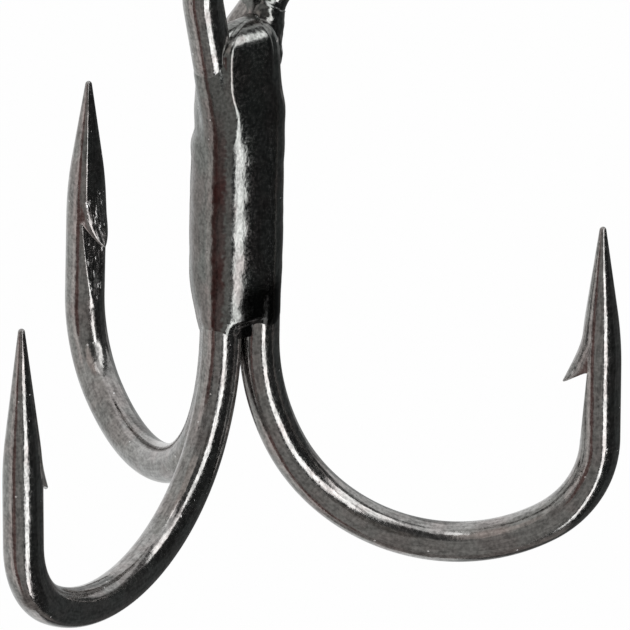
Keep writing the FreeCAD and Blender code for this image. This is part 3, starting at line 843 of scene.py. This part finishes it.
def braze_bar(theta, height, growth, towards_cap):
    """Radius of the round bar of the braze, which turns into the cap. In the double wire's groove it has a
    step. The cap still fills the way from the single hook to the first strand, and the groove until the
    metal there ends."""
    b = sizes("hook_braze")
    in_groove = smooth(*GROOVE_COSINES, np.cos(theta - math.pi))
    stepped = smooth(b.step_height - b.step_fade, b.step_height + b.step_fade, height)
    bar = b.radius * growth - b.step_depth * in_groove * stepped
    angles = np.where(theta > math.pi, theta - 2 * math.pi, theta)
    bridge = smooth(*BRIDGE_START, angles) * (1 - smooth(*BRIDGE_END, angles))
    filled = in_groove * (1 - smooth(b.groove_start, b.groove_end, height))
    cap = b.cap_radius + b.cap_bridge * bridge + b.cap_groove * filled
    return bar + (cap - bar) * towards_cap


def near_reach(theta, height, axis):
    """How far a ray from the axis goes to the side between the single and the first hook: a circle that
    bulges out of it. On the way to the cap its distance, direction and radius change, and near the lower
    end it lies deeper."""
    b = sizes("hook_braze")
    level = smooth(b.near_start, b.near_end, height)
    distance = b.near_flat + (b.near_top - b.near_flat) * level
    for depth, whole, gone in NEAR_TAPERS:
        distance = distance - depth * MM * (1 - smooth(whole * MM, gone * MM, height))
    facing = b.near_angle + (b.near_top_angle - b.near_angle) * level
    level = smooth(b.bulge_start, b.bulge_end, height)
    bulge = 1 / (1 / b.near_bulge + (1 / b.near_top_bulge - 1 / b.near_bulge) * level)
    centre = (distance - bulge)[:, None] * np.stack([np.cos(facing), np.sin(facing)], axis=-1)
    return wire_reach(centre, axis, theta, bulge[:, None])


def film_runs():
    """The centre lines of the three wires where the braze can lie on them, each with the height at which
    its film ends and the thickness of that film."""
    b = sizes("hook_braze")
    double = double_corners()
    single = single_corners()
    single_end = single[-1][0][2] + sizes("hook_wires").eye_drop
    runs = (
        (double[3:6], b.first_film_end, b.film),
        (double[-6:-3][::-1], b.second_film_end, b.film),
        (single[-3:], single_end - b.single_film_drop, b.single_film),
    )
    return [(rounded_line(corners, WIRE_STEP)[0], end, film) for corners, end, film in runs]


def braze_mesh():
    """The braze as a surface r(theta, z) about an axis that shifts from the middle of the shanks to the
    single hook's end. A section is a round bar with a side that bulges and a flat beside the single hook,
    r = min(bar, near side, far flat), and r = max(section, wire's own reach with a film) where a wire
    stands out of it. The bottom thins out, the cap is closed by an elliptical dome, and ripples run over
    all of it."""
    s = sizes("hook_wires")
    b = sizes("hook_braze")
    end = single_corners()[-1][0]
    top = end[2] + s.eye_drop + b.cap_cover
    height = braze_heights(top)
    theta = around(BRAZE_COLUMNS)[None, :]
    z = height[:, None]
    levels = height - s.eye_drop

    foot_axis = np.array([b.shift_out, b.shift_side])
    cap_axis = end[:2] + np.array([b.cap_shift, 0.0])
    towards_cap = smooth(b.cap_start, b.cap_full, z)
    axis = foot_axis + (cap_axis - foot_axis) * towards_cap
    growth = smooth(b.bottom - TAPER_BELOW * b.bottom_taper, b.bottom + b.bottom_taper, z)
    growth = (b.bottom_radius + (b.radius - b.bottom_radius) * growth) / b.radius
    bar = braze_bar(theta, z, growth, towards_cap)
    near = near_reach(theta, height, axis)
    far = flat_reach(b.far_flat * growth[:, 0], b.far_angle, axis, theta)
    body = nearer(nearer(bar, near, b.edge), far, b.edge)

    dome = np.clip((top - z) / b.cap_dome, 0, 1)
    dome = np.sqrt(1 - (1 - dome) ** 2)
    surface = body * dome
    for line, film_end, thickness in film_runs():
        fade = smooth(film_end - b.film_fade, film_end + b.film_fade, z)
        fade = np.clip(fade + smooth(b.bottom + b.film_foot, b.bottom, z), 0, 1)
        film = thickness - (thickness + b.film_dip) * fade
        reach = wire_reach(line_at(line, levels), axis, theta, s.wire_dia / 2 + film)
        surface = joined(surface, reach * dome, b.fillet)
    surface = surface + ripple(theta, z, BRAZE_WAVES, BRAZE_SEED) * dome
    across = [axis[:, :1] + surface * np.cos(theta), axis[:, 1:] + surface * np.sin(theta)]
    grid = np.stack(across + [levels[:, None] + 0 * surface], axis=-1)
    start = np.array([*foot_axis, levels[0]])
    finish = np.array([*cap_axis, top - s.eye_drop])
    return closed_mesh("braze_metal", grid, start, finish, {})


def web_mesh():
    """The web of brazing metal from the single hook's shank to the second strand: a bar whose radius
    grows along its way from the shank to the strand, then thins out along the strand, with ripples."""
    s = sizes("hook_wires")
    b = sizes("hook_braze")
    (lean, _), (end, _) = single_corners()[-2:]
    rise = b.web_height - s.single_lean_height
    start = lean + (end - lean) * (rise / (end[2] - lean[2]))
    ring, along, _ = ring_corners()
    foot = strand_foot("second", along)
    strand = unit(ring[-1] - foot)
    meeting = foot + strand * b.web_reach
    corners = [(start, None), (meeting, b.web_radius), (meeting + strand * b.web_end, None)]
    points, directions = rounded_line(corners, WEB_STEP)
    way = way_along(points)
    ends = [b.web_start, b.web_radius, s.wire_dia / 2 - b.web_sink]
    radius = np.interp(way, [0, way[-1] - b.web_end, way[-1]], ends)
    blunt = np.clip(way / b.web_start, 0, 1)
    radius = radius * np.sqrt(1 - (1 - blunt) ** 2)
    ripples = ripple(around()[None, :], way[:, None], WEB_WAVES, WEB_SEED) * blunt[:, None]
    sideways = np.repeat(turned(s.eye_angle, ACROSS)[None], len(points), axis=0)
    grid = rings(points, directions, sideways, (radius[:, None] + ripples)[..., None])[1:]
    return closed_mesh("braze_web", grid, points[0], points[-1], {})


# ---------------------------------------------------------------- materials

# Edges of the patterns: noise below the first number counts as 0, and above the second as 1.
CLOUD_EDGES = (0.42, 0.62)
GRAIN_EDGES = (0.34, 0.66)
STAIN_EDGES = (0.40, 0.66)
SCUFF_EDGES = (0.58, 0.72)
BRAZE_CLOUD_EDGES = (0.45, 0.62)
BRAZE_STAIN_EDGES = (0.40, 0.70)
RIDGE_EDGES = (0.32, 0.68)
# The part of the cells of a pattern that hold a speck or a pit.
SPECK_PART = 0.26
PIT_PART = 0.20
BRAZE_SPECK_PART = 0.22
# The painted warm reflection on the braze, a red-brown band set in the camera's frame: its directions across
# and to the front, and where its edges start and end, the top one above the start of the bends.
WARM_REFLECTION_ACROSS = (0.997, 0.078, 0.0)
WARM_REFLECTION_FRONT = (0.078, -0.997, 0.0)
WARM_REFLECTION_LEFT = (-0.86 * MM, -0.74 * MM)
WARM_REFLECTION_RIGHT = (-0.52 * MM, -0.36 * MM)
WARM_REFLECTION_DEPTH = (0.3 * MM, 0.6 * MM)
WARM_REFLECTION_TOP = (7.4 * MM, 9.2 * MM)
# The painted dark reflection at the foot of the braze: its edge along +X and its top, and the height from
# which the cap is smoother.
DARK_REFLECTION_SIDE = (0.15 * MM, 0.35 * MM)
DARK_REFLECTION_TOP = (1.9 * MM, 2.7 * MM)
CAP_FOOT = (8.6 * MM, 9.6 * MM)
# How strong those are: the painted warm reflection between and in the clouds, how much its sides wander, the
# painted dark reflection, and how much lower the ridges are on the cap.
WARM_REFLECTION_STRENGTH = 0.60
WARM_REFLECTION_CLOUDS = 0.35
WARM_REFLECTION_RAGGED = 0.9
DARK_REFLECTION_STRENGTH = 0.9
CAP_SMOOTHING = 0.75
# The part of a speck's radius within which it is whole.
SPECK_CORE = 0.5
# The tone of each metal between its patterns, as a part of its colour, and what each pattern adds to it;
# a pit takes its own away.
WIRE_TONE = 0.56
WIRE_GRAIN_TONE = 0.40
STREAK_TONE = 0.32
STAIN_TONE = 0.26
PIT_TONE = 0.35
BRAZE_TONE = 0.54
BRAZE_GRAIN_TONE = 0.34
RIDGE_TONE = 0.30
BRAZE_STAIN_TONE = 0.22
# The least roughness of each metal, and what each pattern adds to it.
WIRE_ROUGHNESS = 0.10
WIRE_GRAIN_ROUGHNESS = 0.08
WORKED_ROUGHNESS = 0.16
BRAZE_ROUGHNESS = 0.11
BRAZE_GRAIN_ROUGHNESS = 0.09
SPECK_ROUGHNESS = 0.30


class Value:
    """The output of a node; arithmetic on it adds Math nodes."""

    def __init__(self, nodes, socket):
        self.nodes = nodes
        self.socket = socket

    def __add__(self, other):
        return self.nodes.math("ADD", self, other)

    def __sub__(self, other):
        return self.nodes.math("SUBTRACT", self, other)

    def __rsub__(self, other):
        return self.nodes.math("SUBTRACT", other, self)

    def __mul__(self, other):
        return self.nodes.math("MULTIPLY", self, other)

    __radd__ = __add__
    __rmul__ = __mul__


class Nodes:
    """The node tree of one material or world."""

    def __init__(self, owner):
        owner.use_nodes = True
        self.tree = owner.node_tree
        self.tree.nodes.clear()

    def add(self, kind, settings=None, inputs=None, output=0):
        """Adds a node: first its settings, then the values or links of its sockets."""
        node = self.tree.nodes.new(kind)
        for key, value in (settings or {}).items():
            setattr(node, key, value)
        for key, value in (inputs or {}).items():
            if isinstance(value, Value):
                self.tree.links.new(value.socket, node.inputs[key])
            else:
                node.inputs[key].default_value = value
        return Value(self, node.outputs[output]) if node.outputs else None

    def math(self, operation, first, second=0.0):
        """Arithmetic on one or two numbers."""
        return self.add("ShaderNodeMath", {"operation": operation}, {0: first, 1: second})

    def vector(self, operation, first, second, output="Vector"):
        """Arithmetic on two vectors."""
        return self.add("ShaderNodeVectorMath", {"operation": operation}, {0: first, 1: second}, output)

    def step(self, value, low, high):
        """0 below low, 1 above high and a smooth step between."""
        places = {"Value": value, "From Min": low, "From Max": high}
        return self.add("ShaderNodeMapRange", {"interpolation_type": "SMOOTHSTEP"}, places)

    def noise(self, place, size, stretch=1.0, detail=2.0):
        """Noise from 0 to 1 whose blobs are about as large as size, in metres, and stretched along Z."""
        scaled = self.vector("MULTIPLY", place, (1 / size, 1 / size, 1 / (size * stretch)))
        return self.add("ShaderNodeTexNoise", None, {"Vector": scaled, "Scale": 1.0, "Detail": detail})

    def patches(self, place, size, edges, stretch=1.0, detail=2.0):
        """Noise with its contrast raised: 0 below the first of its edges and 1 above the second."""
        return self.step(self.noise(place, size, stretch, detail), *edges)

    def specks(self, place, spacing, radius, part):
        """1 inside small round specks, in the given part of the cells of a Voronoi pattern."""
        cells = {"Vector": place, "Scale": 1 / spacing}
        distance = self.add("ShaderNodeTexVoronoi", None, cells)
        cell_colour = self.add("ShaderNodeTexVoronoi", None, cells, "Color")
        chance = self.add("ShaderNodeSeparateColor", None, {"Color": cell_colour})
        near = 1 - self.step(distance, SPECK_CORE * radius / spacing, radius / spacing)
        return near * self.math("LESS_THAN", chance, part)

    def mix(self, factor, first, second, blend="MIX"):
        """A colour between two colours."""
        settings = {"data_type": "RGBA", "blend_type": blend}
        return self.add("ShaderNodeMix", settings, {0: factor, 6: first, 7: second}, 2)

    def grey(self, value):
        """A grey colour from a number."""
        return self.add("ShaderNodeCombineColor", None, {"Red": value, "Green": value, "Blue": value})

    def metal(self, colour, roughness, height):
        """A metal surface with a colour, a roughness and a height in metres."""
        normal = self.add("ShaderNodeBump", None, {"Strength": 1.0, "Distance": 1.0, "Height": height})
        inputs = {"Base Color": colour, "Metallic": 1.0, "Roughness": roughness, "Normal": normal}
        shader = self.add("ShaderNodeBsdfPrincipled", None, inputs)
        self.add("ShaderNodeOutputMaterial", None, {"Surface": shader})


def opaque(colour):
    """A colour with a full alpha."""
    return (*colour, 1.0)


def wire_plating(name):
    """Smooth black nickel on drawn wire: reddish clouds, fine mottling, drawing streaks, stains, pits and
    bright specks, and rough bright metal where a barb was lifted."""
    colours = sizes("hook_finish")
    p = sizes("hook_patterns")
    material = bpy.data.materials.new(name)
    nodes = Nodes(material)
    place = nodes.add("ShaderNodeTexCoord", output="Object")
    along = nodes.add("ShaderNodeAttribute", {"attribute_name": STRAIGHTENED}, output="Vector")
    worked = nodes.add("ShaderNodeAttribute", {"attribute_name": WORKED}, output="Fac")

    clouds = nodes.patches(place, p.cloud, CLOUD_EDGES, detail=3.0)
    grain = nodes.patches(place, p.grain, GRAIN_EDGES, detail=3.0)
    streaks = nodes.patches(along, p.streak, GRAIN_EDGES, stretch=9.0)
    stains = nodes.patches(place, p.stain_and_painted_reflection, STAIN_EDGES, detail=4.0)
    scuffs = nodes.patches(along, p.scuff, SCUFF_EDGES, stretch=2.2, detail=3.0)
    specks = nodes.specks(place, p.speck_gap, p.speck_radius, SPECK_PART)
    pits = nodes.specks(along, p.pit_gap, p.pit_radius, PIT_PART)

    colour = nodes.mix(clouds, opaque(colours.plating), opaque(colours.plating_warm))
    tone = WIRE_TONE + WIRE_GRAIN_TONE * grain + STREAK_TONE * streaks + STAIN_TONE * stains - PIT_TONE * pits
    colour = nodes.mix(1.0, colour, nodes.grey(tone), "MULTIPLY")
    colour = nodes.mix(worked * scuffs, colour, opaque(colours.speck))
    colour = nodes.mix(specks, colour, opaque(colours.speck))
    roughness = WIRE_ROUGHNESS + WIRE_GRAIN_ROUGHNESS * grain + SPECK_ROUGHNESS * specks
    roughness = roughness + WORKED_ROUGHNESS * worked * streaks
    height = p.swell_height * nodes.noise(along, p.swell, stretch=2.0, detail=1.0)
    height = height + p.dent_height * nodes.noise(along, p.dent, stretch=2.5)
    height = height + p.grain_height * grain + p.grain_height * streaks
    height = height + p.scuff_height * worked * scuffs + p.speck_height * specks - p.pit_depth * pits
    nodes.metal(colour, roughness, height)
    return material


def braze_plating(name):
    """Black nickel over brazing metal: lumpy, with ridges down the shanks and reddish clouds, a painted warm
    reflection down its front and a painted dark reflection at its foot, both with ragged edges."""
    colours = sizes("hook_finish")
    p = sizes("hook_patterns")
    material = bpy.data.materials.new(name)
    nodes = Nodes(material)
    place = nodes.add("ShaderNodeTexCoord", output="Object")

    clouds = nodes.patches(place, p.braze_cloud, BRAZE_CLOUD_EDGES, stretch=2.5, detail=3.0)
    grain = nodes.patches(place, p.grain, GRAIN_EDGES, detail=3.0)
    ridges = nodes.noise(place, p.ridge, stretch=2.4, detail=3.0)
    stains = nodes.patches(place, p.braze_stain, BRAZE_STAIN_EDGES, stretch=1.8, detail=4.0)
    specks = nodes.specks(place, p.braze_speck_gap, p.braze_speck_radius, BRAZE_SPECK_PART)

    ragged = p.ragged * (nodes.noise(place, p.ragged_size, detail=3.0) - 0.5)
    above = nodes.vector("DOT_PRODUCT", place, UP, "Value") + sizes("hook_wires").eye_drop + ragged
    # A red-brown band painted down the front of the braze, placed by the camera's right and front: a painted
    # warm reflection.
    across = nodes.vector("DOT_PRODUCT", place, WARM_REFLECTION_ACROSS, "Value") + WARM_REFLECTION_RAGGED * ragged
    front = nodes.step(nodes.vector("DOT_PRODUCT", place, WARM_REFLECTION_FRONT, "Value"), *WARM_REFLECTION_DEPTH)
    stain_and_painted_reflection = nodes.step(across, *WARM_REFLECTION_LEFT) * (1 - nodes.step(across, *WARM_REFLECTION_RIGHT)) * front
    stain_and_painted_reflection = stain_and_painted_reflection * (1 - nodes.step(above, *WARM_REFLECTION_TOP)) * (WARM_REFLECTION_STRENGTH + WARM_REFLECTION_CLOUDS * clouds)
    # Near-black painted at the foot of the braze, on the single hook's side: a painted dark reflection.
    out = nodes.vector("DOT_PRODUCT", place, OUT, "Value") + ragged
    painted_dark_reflection = nodes.step(out, *DARK_REFLECTION_SIDE) * (1 - nodes.step(above, *DARK_REFLECTION_TOP))

    colour = nodes.mix(clouds, opaque(colours.braze), opaque(colours.braze_warm))
    # Paints the warm reflection into the braze's colour.
    colour = nodes.mix(stain_and_painted_reflection, colour, opaque(colours.painted_warm_reflection))
    tone = BRAZE_TONE + BRAZE_GRAIN_TONE * grain + BRAZE_STAIN_TONE * stains
    tone = tone + RIDGE_TONE * nodes.step(ridges, *RIDGE_EDGES)
    colour = nodes.mix(1.0, colour, nodes.grey(tone), "MULTIPLY")
    # Paints the dark reflection into the braze's colour.
    colour = nodes.mix(DARK_REFLECTION_STRENGTH * painted_dark_reflection, colour, opaque(colours.painted_dark_reflection))
    colour = nodes.mix(specks, colour, opaque(colours.speck))
    roughness = BRAZE_ROUGHNESS + BRAZE_GRAIN_ROUGHNESS * grain + SPECK_ROUGHNESS * specks
    lower = 1 - CAP_SMOOTHING * nodes.step(above, *CAP_FOOT)
    height = p.ridge_height * ridges * lower + p.braze_grain_height * grain + p.speck_height * specks
    nodes.metal(colour, roughness, height)
    return material


# ---------------------------------------------------------------- studio

# The kinds of ray that see the floor as white, and not as lit paper.
BACKGROUND_RAYS = ("Is Camera Ray", "Is Glossy Ray", "Is Transmission Ray")
FLOOR_SIDES = 96
FLOOR_RINGS = 12
# The innermost ring of the floor, as a part of its radius.
FLOOR_MIDDLE = 0.1
# The paper's tone, how much its grain changes it, and the size of that grain.
PAPER_TONE = 0.93
PAPER_GRAIN = 0.02
PAPER_GRAIN_SIZE = 2.0 * MM
TENT_SIDES = 96
TENT_RINGS = 48
# The light tent's panels, each painted over the ones before it: its west and east ends, its low and high
# ends and the softness of its edges, in degrees as seen from the hook, with the camera's side at 0 and its
# right positive, and its colour, where 1 is white.
TENT_PANELS = (
    ("lower_left", -200, -118, -62, -18, 10, (0.78, 0.79, 0.79)),
    ("left_card", -130, -10, -95, 95, 7, (0.66, 0.66, 0.645)),
    ("left_fold", -84, -61, -70, 12, 5, (0.92, 0.86, 0.84)),
    ("upper_left", -62, -8, 30, 66, 4, (0.70, 0.64, 0.61)),
    ("front_card", -58, 26, -66, 30, 3, (0.350, 0.343, 0.332)),
    ("warm_edge", -61, -40, -95, 4, 2.5, (0.20, 0.128, 0.120)),
    ("upper_front", -14, 34, 27, 62, 3, (0.10, 0.10, 0.10)),
    ("front_shade", 2, 34, 6, 29, 4, (0.19, 0.18, 0.17)),
    ("right_back", 120, 182, -95, 40, 8, (0.42, 0.43, 0.43)),
    ("right_flag", 22, 132, -95, 32, 2, (0.075, 0.08, 0.08)),
    ("right_low", 128, 166, -95, -14, 6, (0.10, 0.10, 0.10)),
    ("dark_gap", 52, 92, -70, 20, 4, (0.035, 0.037, 0.037)),
    ("strip_light", 31, 49, -58, 36, 1.5, (3.2, 3.2, 3.2)),
    ("upper_gap", 86, 116, 30, 84, 4, (0.16, 0.16, 0.16)),
    ("upper_right", 112, 165, 12, 66, 5, (0.85, 0.85, 0.85)),
    ("main_light", 53, 84, 31, 66, 3, (2.8, 2.8, 2.8)),
    ("top_light", -32, -8, 64, 80, 3, (2.6, 2.6, 2.6)),
    ("low_card", -118, 128, -95, -64, 4, (0.28, 0.26, 0.25)),
)


def camera_axes():
    """The camera's right, its upward and its forward direction, before its roll."""
    s = sizes("hook_studio")
    turn = Matrix.Rotation(s.azimuth, 3, "Z")
    forward = turn @ Vector((0, math.cos(s.elevation), -math.sin(s.elevation)))
    right = turn @ Vector((1, 0, 0))
    return right, right.cross(forward), forward


def shank_start():
    """Where the bends start, on the axis of the shanks."""
    return Vector((0, 0, -sizes("hook_wires").eye_drop))


def add_camera():
    """The camera: long, level with its own roll, aimed at the middle of the view."""
    s = sizes("hook_studio")
    right, above, forward = camera_axes()
    place = shank_start() - forward * s.distance
    aim = shank_start() + right * s.aim_right + above * s.aim_up
    back = (place - aim).normalized()
    side = right * math.cos(s.roll) + above * math.sin(s.roll)
    side = (side - back * side.dot(back)).normalized()
    data = bpy.data.cameras.new("studio_camera")
    data.lens = data.sensor_width * s.distance / s.view_width
    camera = bpy.data.objects.new("studio_camera", data)
    axes = Matrix((side, back.cross(side), back)).transposed().to_4x4()
    camera.matrix_world = Matrix.Translation(place) @ axes
    bpy.context.scene.collection.objects.link(camera)
    bpy.context.scene.camera = camera


def add_piece(mesh, material):
    """Puts a finished mesh with its material into the scene."""
    mesh.materials.append(material)
    piece = bpy.data.objects.new(mesh.name, mesh)
    bpy.context.scene.collection.objects.link(piece)
    return piece


def add_world():
    """A plain white world."""
    world = bpy.data.worlds.new("studio_world")
    nodes = Nodes(world)
    white = nodes.add("ShaderNodeBackground", None, {"Color": WHITE, "Strength": 1.0})
    nodes.add("ShaderNodeOutputWorld", None, {"Surface": white})
    bpy.context.scene.world = world


def add_floor():
    """A pale floor: a flat disc of rings at r = radius x v, each inside the next."""
    s = sizes("hook_studio")
    f = around(FLOOR_SIDES)[None, :]
    v = np.linspace(FLOOR_MIDDLE, 1.0, FLOOR_RINGS)[:, None]
    level = np.full(np.broadcast(v, f).shape, -s.floor_drop)
    grid = np.stack([s.floor_radius * v * np.cos(f), s.floor_radius * v * np.sin(f), level], axis=-1)
    middle = np.array([0.0, 0.0, -s.floor_drop])
    mesh = open_mesh("studio_floor", grid, middle)
    material = bpy.data.materials.new("floor_paper")
    nodes = Nodes(material)
    place = nodes.add("ShaderNodeTexCoord", output="Object")
    tone = PAPER_TONE + PAPER_GRAIN * nodes.noise(place, PAPER_GRAIN_SIZE)
    paper = nodes.add("ShaderNodeBsdfDiffuse", None, {"Color": nodes.grey(tone)})
    white = nodes.add("ShaderNodeEmission", None, {"Color": WHITE, "Strength": 1.0})
    rays = [nodes.add("ShaderNodeLightPath", output=name) for name in BACKGROUND_RAYS]
    seen = nodes.math("MAXIMUM", rays[0], nodes.math("MAXIMUM", rays[1], rays[2]))
    shader = nodes.add("ShaderNodeMixShader", None, {0: seen * s.floor_white, 1: paper, 2: white})
    nodes.add("ShaderNodeOutputMaterial", None, {"Surface": shader})
    piece = add_piece(mesh, material)


def add_tent():
    """A light tent round the hook that only reflections see: a ball, and its panels painted on it by the
    direction from its middle, as an angle round the hook and an angle above the level."""
    s = sizes("hook_studio")
    right, _, _ = camera_axes()
    front = Vector((right.y, -right.x, 0.0))
    centre = np.array(shank_start())
    f = around(TENT_SIDES)[None, :]
    v = np.linspace(0, math.pi, TENT_RINGS + 2)[1:-1, None]
    ball = np.stack([np.sin(v) * np.cos(f), np.sin(v) * np.sin(f), np.cos(v) + 0 * f], axis=-1)
    grid = centre + s.tent_radius * ball
    ends = centre + s.tent_radius * UP, centre - s.tent_radius * UP
    mesh = closed_mesh("light_tent", grid, ends[0], ends[1], {})

    material = bpy.data.materials.new("tent_panels")
    nodes = Nodes(material)
    place = nodes.add("ShaderNodeTexCoord", output="Object")
    away = nodes.vector("SUBTRACT", place, centre)
    across = nodes.vector("DOT_PRODUCT", away, right, "Value")
    ahead = nodes.vector("DOT_PRODUCT", away, front, "Value")
    up = nodes.vector("DOT_PRODUCT", away, UP, "Value")
    round_angle = nodes.math("ARCTAN2", across, ahead) * math.degrees(1)
    high_angle = nodes.math("ARCSINE", up * (1 / s.tent_radius)) * math.degrees(1)
    colour = WHITE
    for _, west, east, low, high, soft, tone in TENT_PANELS:
        inside = nodes.step(round_angle, west - soft, west + soft)
        inside = inside * (1 - nodes.step(round_angle, east - soft, east + soft))
        inside = inside * nodes.step(high_angle, low - soft, low + soft)
        inside = inside * (1 - nodes.step(high_angle, high - soft, high + soft))
        colour = nodes.mix(inside, colour, opaque(tone))
    glow = nodes.add("ShaderNodeEmission", None, {"Color": colour, "Strength": 1.0})
    nodes.add("ShaderNodeOutputMaterial", None, {"Surface": glow})
    tent = add_piece(mesh, material)
    tent.visible_camera = False
    tent.visible_diffuse = False
    tent.visible_shadow = False


# ---------------------------------------------------------------- operators


def place_piece(mesh, material, node):
    """Puts a finished mesh into the scene as the piece that stands for a node."""
    piece = add_piece(mesh, material)
    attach(piece, BODY)
    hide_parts(node)


class TREBLE_OT_double_hook(bpy.types.Operator):
    """Build the double wire with its two points, barbs and the eye"""

    bl_idname = "treble.double_hook"
    bl_label = "Double hook"

    def execute(self, context):
        place_piece(double_wire_mesh(), wire_plating("double_hook_plating"), "double_hook")
        return {"FINISHED"}


class TREBLE_OT_single_hook(bpy.types.Operator):
    """Build the single wire with its point and barb"""

    bl_idname = "treble.single_hook"
    bl_label = "Single hook"

    def execute(self, context):
        place_piece(single_wire_mesh(), wire_plating("single_hook_plating"), "single_hook")
        return {"FINISHED"}


class TREBLE_OT_braze(bpy.types.Operator):
    """Build the braze round the shanks"""

    bl_idname = "treble.braze"
    bl_label = "Braze"

    def execute(self, context):
        plating = braze_plating("braze_plating")
        place_piece(braze_mesh(), plating, "braze_joint")
        place_piece(web_mesh(), plating, "braze_joint")
        return {"FINISHED"}


class TREBLE_OT_studio(bpy.types.Operator):
    """Set up the camera, the floor and the light round the hook"""

    bl_idname = "treble.studio"
    bl_label = "Studio"

    def execute(self, context):
        add_camera()
        add_world()
        add_floor()
        add_tent()
        context.scene.view_settings.view_transform = "Standard"
        return {"FINISHED"}


class TREBLE_PT_panel(bpy.types.Panel):
    """The treble hook's pieces, in the sidebar"""

    bl_label = "Treble hook"
    bl_space_type = "VIEW_3D"
    bl_region_type = "UI"
    bl_category = "Treble hook"

    def draw(self, context):
        for operator in OPERATORS:
            self.layout.operator(operator.bl_idname)
        for group in GROUPS:
            values = getattr(context.scene, group)
            box = self.layout.box()
            for key in values.bl_rna.properties.keys():
                if key not in ("rna_type", "name"):
                    box.prop(values, key)


GROUPS = {
    "hook_wires": WireSizes,
    "hook_barbs": BarbSizes,
    "hook_braze": BrazeSizes,
    "hook_finish": FinishColours,
    "hook_patterns": FinishSizes,
    "hook_studio": StudioSizes,
}
OPERATORS = (TREBLE_OT_double_hook, TREBLE_OT_single_hook, TREBLE_OT_braze, TREBLE_OT_studio)


def register():
    """Registers the sizes, the operators and the panel."""
    for name, group in GROUPS.items():
        bpy.utils.register_class(group)
        setattr(bpy.types.Scene, name, bpy.props.PointerProperty(type=group))
    for operator in OPERATORS:
        bpy.utils.register_class(operator)
    bpy.utils.register_class(TREBLE_PT_panel)


def unregister():
    """Removes them again."""
    bpy.utils.unregister_class(TREBLE_PT_panel)
    for operator in reversed(OPERATORS):
        bpy.utils.unregister_class(operator)
    for name, group in reversed(GROUPS.items()):
        delattr(bpy.types.Scene, name)
        bpy.utils.unregister_class(group)


def main():
    """Builds everything."""
    register()
    bpy.ops.treble.double_hook()
    bpy.ops.treble.single_hook()
    bpy.ops.treble.braze()
    bpy.ops.treble.studio()


if __name__ == "__main__":
    main()
